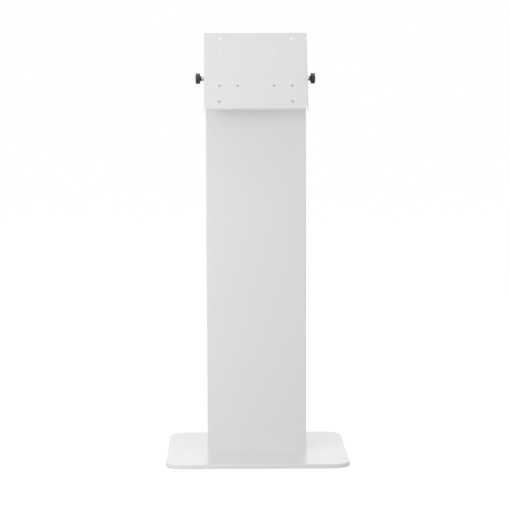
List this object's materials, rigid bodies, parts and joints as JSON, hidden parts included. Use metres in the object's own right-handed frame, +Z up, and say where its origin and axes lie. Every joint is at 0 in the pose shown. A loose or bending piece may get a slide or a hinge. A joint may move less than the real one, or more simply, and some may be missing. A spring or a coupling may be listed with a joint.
{
  "type": "kiosk floor stand",
  "caption": "Free-standing kiosk stand: rounded base plate, tall sheet-metal column and a tilting screen plate with square hole patterns, clamped by side knobs.",
  "frame": {"origin": "on the floor, under the middle of the base plate", "axes": "+Z up, the front faces -Y, +X to the right seen from the front"},
  "size_m": [0.508, 0.432, 1.1914],
  "materials": {
    "white_powder_coat": "satin",
    "zinc_steel": "zinc plated",
    "black_rubber": "matt",
    "natural_nylon": "matt",
    "black_moulded_plastic": "fine grain"
  },
  "bodies": {
    "stand": {"base_plate": "white_powder_coat", "foot_flange": "white_powder_coat", "column_shell": "white_powder_coat", "rear_cover": "white_powder_coat", "column_stiffener": "white_powder_coat", "top_rib": "white_powder_coat", "top_cap": "white_powder_coat", "pivot_doubler_left": "white_powder_coat", "pivot_doubler_right": "white_powder_coat", "base_bolts": "zinc_steel", "rear_cover_screws": "zinc_steel", "rear_clinch_nuts": "zinc_steel", "top_cap_screws": "zinc_steel", "weld_nut_left": "zinc_steel", "weld_nut_right": "zinc_steel", "base_rubber_pads": "black_rubber", "top_cable_grommet": "black_rubber", "rear_cable_grommet": "black_rubber", "friction_disc_left": "natural_nylon", "friction_disc_right": "natural_nylon", "cable_tie_mounts": "natural_nylon"},
    "head": {"screen_plate": "white_powder_coat"},
    "left_washer": {"clamp_washer_left": "zinc_steel"},
    "right_washer": {"clamp_washer_right": "zinc_steel"},
    "left_knob": {"knob_nut_left": "zinc_steel", "knob_stud_left": "zinc_steel", "knob_grip_left": "black_moulded_plastic"},
    "right_knob": {"knob_nut_right": "zinc_steel", "knob_stud_right": "zinc_steel", "knob_grip_right": "black_moulded_plastic"}
  },
  "joints": [
    {"name": "head_tilt", "type": "hinge", "parent": "stand", "child": "head", "pos_m": [0, 0, 1.064], "axis": [-1, 0, 0], "range_deg": [-29, 46]},
    {"name": "left_clamp_slide", "type": "slide", "parent": "stand", "child": "left_washer", "axis": [-1, 0, 0], "range_m": [0, 0.0025]},
    {"name": "left_knob_turn", "type": "hinge", "parent": "left_washer", "child": "left_knob", "pos_m": [-0.16, 0, 1.064], "axis": [-1, 0, 0], "range_deg": [0, 720.2]},
    {"name": "right_clamp_slide", "type": "slide", "parent": "stand", "child": "right_washer", "axis": [1, 0, 0], "range_m": [0, 0.0025]},
    {"name": "right_knob_turn", "type": "hinge", "parent": "right_washer", "child": "right_knob", "pos_m": [0.16, 0, 1.064], "axis": [1, 0, 0], "range_deg": [0, 720.2]}
  ],
  "couplings": [
    {"joint": "left_knob_turn", "follows": "left_clamp_slide", "rad_per_m": 5026.5},
    {"joint": "right_knob_turn", "follows": "right_clamp_slide", "rad_per_m": 5026.5}
  ]
}
